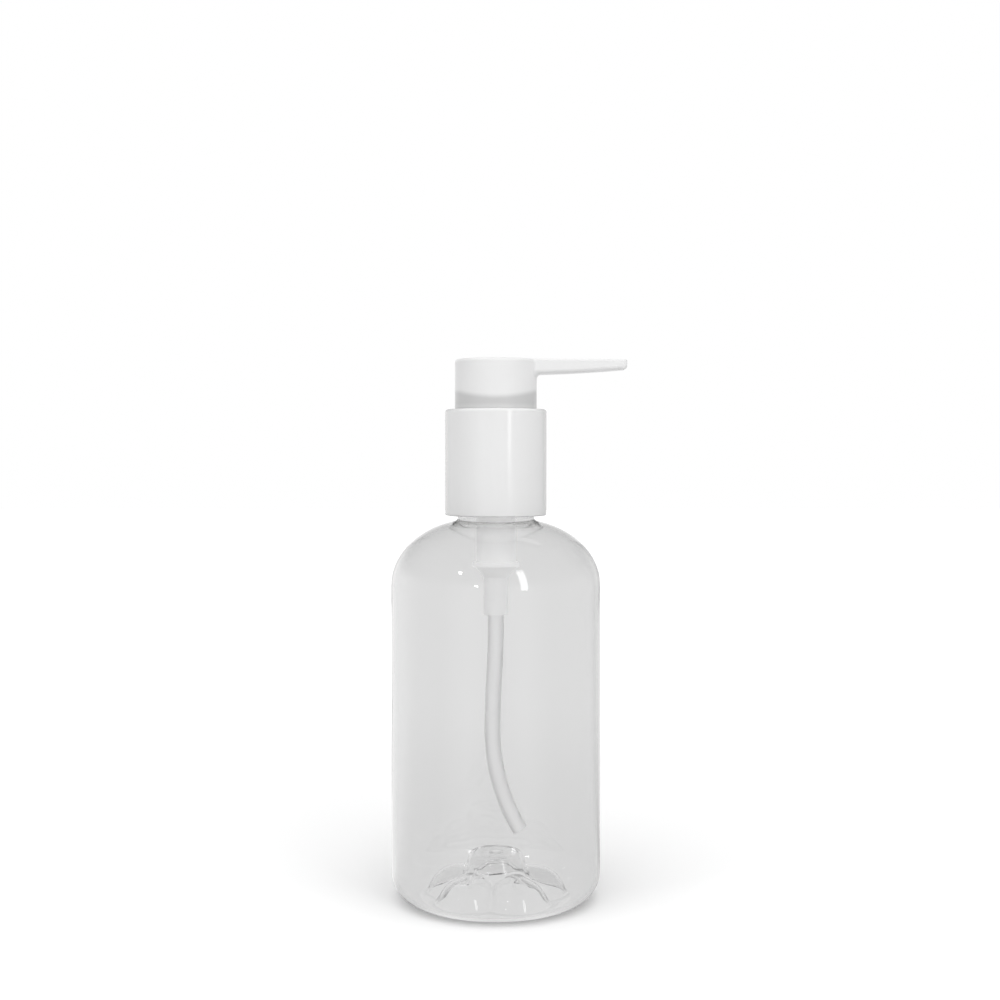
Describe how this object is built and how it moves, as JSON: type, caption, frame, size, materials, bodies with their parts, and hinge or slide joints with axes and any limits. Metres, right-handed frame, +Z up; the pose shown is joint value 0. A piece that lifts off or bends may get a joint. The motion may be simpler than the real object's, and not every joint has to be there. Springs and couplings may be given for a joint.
{
  "type": "pump oil bottle",
  "caption": "Clear round-shouldered plastic bottle with a tall smooth white screw collar and a press-down pump head with a long flat spout, for dispensing oil or lotion.",
  "frame": {"origin": "on the bottle's axis, in the plane of the flat ring that it stands on", "axes": "+Z up along the bottle's axis, +X along the spout"},
  "size_m": [0.0668, 0.0594, 0.1535],
  "materials": {
    "clear_pet": "clear blown PET, glossy",
    "white_pp": "moulded polypropylene",
    "gloss_white": "smooth glossy moulded shell",
    "satin_white": "satin moulded polypropylene",
    "natural_pp": "milky natural polypropylene",
    "natural_pe": "milky natural polyethylene",
    "foam_pe": "soft foam liner",
    "stainless": "drawn stainless steel"
  },
  "bodies": {
    "bottle": {"bottle": "clear_pet"},
    "pump": {"pump_housing": "natural_pp", "neck_gasket": "foam_pe", "chaplet": "white_pp", "dip_tube": "natural_pe", "return_spring": "stainless"},
    "collar": {"threaded_cap": "white_pp", "collar_sleeve": "gloss_white"},
    "plunger": {"stem": "white_pp", "piston_core": "white_pp"},
    "piston": {"piston": "natural_pe"},
    "ball": {"inlet_ball": "stainless"},
    "head": {"pump_head": "satin_white"}
  },
  "joints": [
    {"name": "pump_lift", "type": "slide", "parent": "bottle", "child": "pump", "axis": [0, 0, 1], "range_m": [0, 0.112]},
    {"name": "collar_turn", "type": "hinge", "parent": "pump", "child": "collar", "pos_m": [0, 0, 0.1244], "axis": [0, 0, 1], "range_deg": [0, 540]},
    {"name": "head_press", "type": "slide", "parent": "pump", "child": "plunger", "axis": [0, 0, 1], "range_m": [-0.009, 0], "stiffness_N_per_m": 700, "springref_m": 0.008, "deforming": ["return_spring"]},
    {"name": "head_turn", "type": "hinge", "parent": "plunger", "child": "head", "pos_m": [0, 0, 0.1457], "axis": [0, 0, 1], "continuous": true},
    {"name": "piston_slide", "type": "slide", "parent": "pump", "child": "piston", "axis": [0, 0, 1], "range_m": [-0.008, 0]},
    {"name": "ball_lift", "type": "slide", "parent": "pump", "child": "ball", "axis": [0, 0, 1], "range_m": [0, 0.0012]}
  ],
  "couplings": [
    {"joint": "piston_slide", "follows": "head_press", "ratio": 0.88889}
  ]
}
